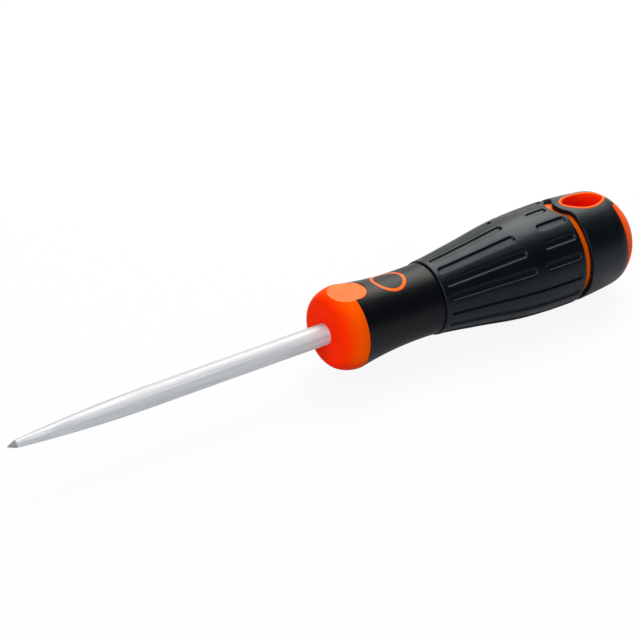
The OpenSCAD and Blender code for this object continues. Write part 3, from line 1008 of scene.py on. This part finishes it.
class AWL_OT_rear(Step, Operator):
    """Wrap the rear sleeve between the seam and the cap, and cut it for the hang hole"""

    bl_idname = "mesh.awl_rear"
    bl_label = "Rear sleeve"

    def execute(self, context):
        handle, core, sizes = Handle(), context.scene.awl_core, context.scene.awl_rear
        columns, steps, turns = 288, 44, 5
        soft, tail = sizes.soft_edge, sizes.soft_edge * 0.45
        collar_back = handle.collar_back + GAP
        collar, belly = core.collar_radius + GAP, core.belly_radius + GAP
        inside = [("back", core.rear_radius + GAP), (handle.cap, core.rear_radius + GAP)]
        inside += [(collar_back, belly), (collar_back, collar), ("front", collar)]
        spans = edge_spans(handle, columns, handle.front_bulge, handle.back_bulge)
        rows = turns + steps + 1 + turns + len(inside)

        def place(row, column):
            turn, front, back = spans[column]
            row %= rows
            if row < turns:
                x, r = handle.soft_edge(front, soft, 1 - row / turns)
            elif row <= turns + steps:
                f = (row - turns) / steps
                x = (front + soft) * (1 - f) + (back - tail) * f
                r = handle.barrel(x)
            elif row <= turns + steps + turns:
                x, r = handle.soft_edge(back, -tail, (row - turns - steps) / turns)
            else:
                x, r = inside[row - turns - steps - turns - 1]
                x = {"back": back, "front": front}.get(x, x)
            return around(x, r, turn)

        piece = wrapped("rear_band", rows, columns, place)
        cut_hole(piece, handle)
        finished(piece, "rear_sleeve", grip_black(), 40)
        return {"FINISHED"}


class AWL_OT_eyelet(Step, Operator):
    """Wrap the hang hole's lining, with a rounded lip at both mouths"""

    bl_idname = "mesh.awl_eyelet"
    bl_label = "Hang hole lining"

    def execute(self, context):
        handle, sizes = Handle(), context.scene.awl_rear
        wall, lip = sizes.lining, sizes.lip
        # The lip's section: part of the wall from the outside, and height in lips.
        mouth = [(0.0, -0.6), (0.03, 0.1), (0.1, 0.55), (0.2, 0.85), (0.33, 1.0), (0.46, 0.95)]
        mouth += [(0.6, 0.6), (0.74, -0.3), (0.86, -1.8), (0.95, -3.6), (1.0, -6.0)]
        ovals = {part: hole_oval(handle, part * wall) for part, _ in mouth}
        columns = len(ovals[0.0])
        inner, outer = 14, 8
        levels = [1 - 2 * i / inner for i in range(1, inner)]
        low = len(mouth) + len(levels)
        rows = low + len(mouth) + outer

        def surface(x, y):
            return sqrt(handle.barrel(x) ** 2 - y * y)

        def place(row, column):
            row %= rows
            if row < len(mouth):
                (part, rise), side = mouth[row], 1
            elif row < low:
                (part, rise), side = mouth[-1], levels[row - len(mouth)]
            elif row < low + len(mouth):
                (part, rise), side = mouth[low + len(mouth) - 1 - row], -1
            else:
                (part, rise), side = mouth[0], -1 + 2 * (row - low - len(mouth) + 1) / (outer + 1)
            x, y = ovals[part][column]
            return Vector((x, y, side * (surface(x, y) + rise * lip)))

        piece = wrapped("hole_lining", rows, columns, place)
        finished(piece, "hang_eyelet", orange_moulding(), 60)
        # painted light: the lip's faces that face up or down get the paler copy
        painted_lighter(piece, orange_painted_light(), lambda middle, normal: abs(normal.z) > 0.35)
        return {"FINISHED"}


class AWL_OT_cap(Step, Operator):
    """Wrap the domed end, trimmed round the rear sleeve's bulge"""

    bl_idname = "mesh.awl_cap"
    bl_label = "End cap"

    def execute(self, context):
        handle, core, sizes = Handle(), context.scene.awl_core, context.scene.awl_cap
        columns, steps, turns, gap = 288, 36, 4, GAP * 1.5
        soft, ledge = sizes.soft_edge, core.rear_radius - 0.0006  # the rim's inner edge
        seat = handle.cap + core.spigot + gap
        inside = ((None, ledge), (seat, core.spigot_radius + gap), (seat, 0.0))
        spans = edge_spans(handle, columns, handle.back_bulge)
        rows = steps + turns + len(inside)

        def place(row, column):
            turn, edge = spans[column]
            edge += gap
            if row <= steps:
                widest = acos((edge + soft - handle.dome_middle) / handle.dome_r)
                x = handle.dome_middle + handle.dome_r * cos(widest * row / steps)
                r = handle.barrel(x) if row else 0.0
            elif row <= steps + turns:
                x, r = handle.soft_edge(edge, soft, (row - steps) / turns)
            else:
                x, r = inside[row - steps - turns - 1]
                x = edge if x is None else x
            return around(x, r, turn)

        piece = wrapped("end_dome", rows, columns, place)
        finished(piece, "end_cap", orange_moulding(), 40)
        return {"FINISHED"}


# ---- stage


def pale_floor():
    """Pale matt floor that keeps the shadow and looks white to the camera."""
    material = bpy.data.materials.new("pale_floor")
    material.use_nodes = True
    tree = material.node_tree
    matt = tree.nodes["Principled BSDF"]
    fill(matt, Base_Color=(*bpy.context.scene.awl_finish.floor, 1.0), Roughness=0.9)
    white = add(tree, "Emission", Strength=1.03)
    seen = add(tree, "LightPath").outputs
    direct = maths("MULTIPLY", seen["Is Camera Ray"], 0.88)
    mirrored = maths("MULTIPLY", seen["Is Glossy Ray"], 0.25)
    both = add(tree, "MixShader", Fac=maths("MAXIMUM", direct, mirrored))
    put(both.inputs[1], matt.outputs["BSDF"])
    put(both.inputs[2], white.outputs["Emission"])
    fill(tree.nodes["Material Output"], Surface=both.outputs["Shader"])
    return material


def look_at(piece, aim):
    """Turns a lamp or the camera towards a point."""
    piece.rotation_euler = (Vector(aim) - piece.location).to_track_quat("-Z", "Y").to_euler()


def soft_box(name, place, aim, size, power, tint=(1.0, 1.0, 1.0)):
    """Large area lamp that looks at a point of the tool."""
    pick()
    bpy.ops.object.light_add(type="AREA", location=place)
    lamp = bpy.context.object
    lamp.name = name
    lamp.data.shape = "RECTANGLE"
    (lamp.data.size, lamp.data.size_y), lamp.data.energy, lamp.data.color = size, power, tint
    look_at(lamp, aim)


class AWL_OT_stage(Step, Operator):
    """Lay the pale floor, set the soft lamps and the camera"""

    bl_idname = "scene.awl_stage"
    bl_label = "Stage"

    def execute(self, context):
        scene = context.scene
        pick()
        low = -scene.awl_grip.belly_diameter / 2
        bpy.ops.mesh.primitive_circle_add(
            vertices=64, radius=6.0, fill_type="NGON", location=(0, 0, low)
        )
        floor = context.object
        floor.name = "floor"
        bpy.ops.object.transform_apply(location=True)
        floor.data.materials.append(pale_floor())
        place, warm = (0.452, 0.362, 0.744), (1.0, 0.96, 0.89)
        soft_box("lamp_back", place, (0.05, 0, 0), size=(0.62, 0.9), power=11.2, tint=warm)
        soft_box("lamp_front", (-0.8, -0.46, 0.58), (0, 0, 0), size=(1.2, 0.9), power=10.8)
        soft_box("lamp_rim", (0.62, 0.9, 0.2), (0.04, 0, 0), size=(1.2, 0.36), power=1.6)
        world = bpy.data.worlds.new("studio")
        world.use_nodes = True
        sky = world.node_tree.nodes["Background"]
        fill(sky, Color=(0.84, 0.92, 1.0, 1.0), Strength=0.07)
        scene.world = world
        bpy.ops.object.camera_add(location=(-0.49274, -0.70447, 0.51082))
        camera = context.object
        camera.name = "camera"
        camera.data.lens, camera.data.sensor_width = 207.06, 36.0
        camera.data.clip_start = 0.01
        look_at(camera, (0.00007, 0.00231, 0.00324))
        scene.camera = camera
        scene.view_settings.view_transform = "Standard"
        pick()
        return {"FINISHED"}


# ---- add-on


PIECES = (
    AWL_OT_blade, AWL_OT_core, AWL_OT_neck, AWL_OT_grip, AWL_OT_rear, AWL_OT_eyelet, AWL_OT_cap,
)


class VIEW3D_PT_awl(Panel):
    """Operators and sizes of the bradawl"""

    bl_label = "Bradawl"
    bl_space_type = "VIEW_3D"
    bl_region_type = "UI"
    bl_category = "Bradawl"

    def draw(self, context):
        column = self.layout.column()
        for operator in (*PIECES, AWL_OT_stage):
            column.operator(operator.bl_idname)
        for name, group in SIZE_GROUPS:
            box = self.layout.box()
            box.label(text=group.__doc__)
            for label in group.__annotations__:
                box.prop(getattr(context.scene, name), label)


CLASSES = (*(group for _, group in SIZE_GROUPS), *PIECES, AWL_OT_stage, VIEW3D_PT_awl)


def register():
    for cls in CLASSES:
        bpy.utils.register_class(cls)
    for name, group in SIZE_GROUPS:
        setattr(bpy.types.Scene, name, PointerProperty(type=group))


def unregister():
    for name, _ in SIZE_GROUPS:
        delattr(bpy.types.Scene, name)
    for cls in reversed(CLASSES):
        bpy.utils.unregister_class(cls)


def main():
    register()
    bpy.ops.mesh.awl_blade()
    bpy.ops.mesh.awl_core()
    bpy.ops.mesh.awl_neck()
    bpy.ops.mesh.awl_grip()
    bpy.ops.mesh.awl_rear()
    bpy.ops.mesh.awl_eyelet()
    bpy.ops.mesh.awl_cap()
    bpy.ops.scene.awl_stage()


if __name__ == "__main__":
    main()
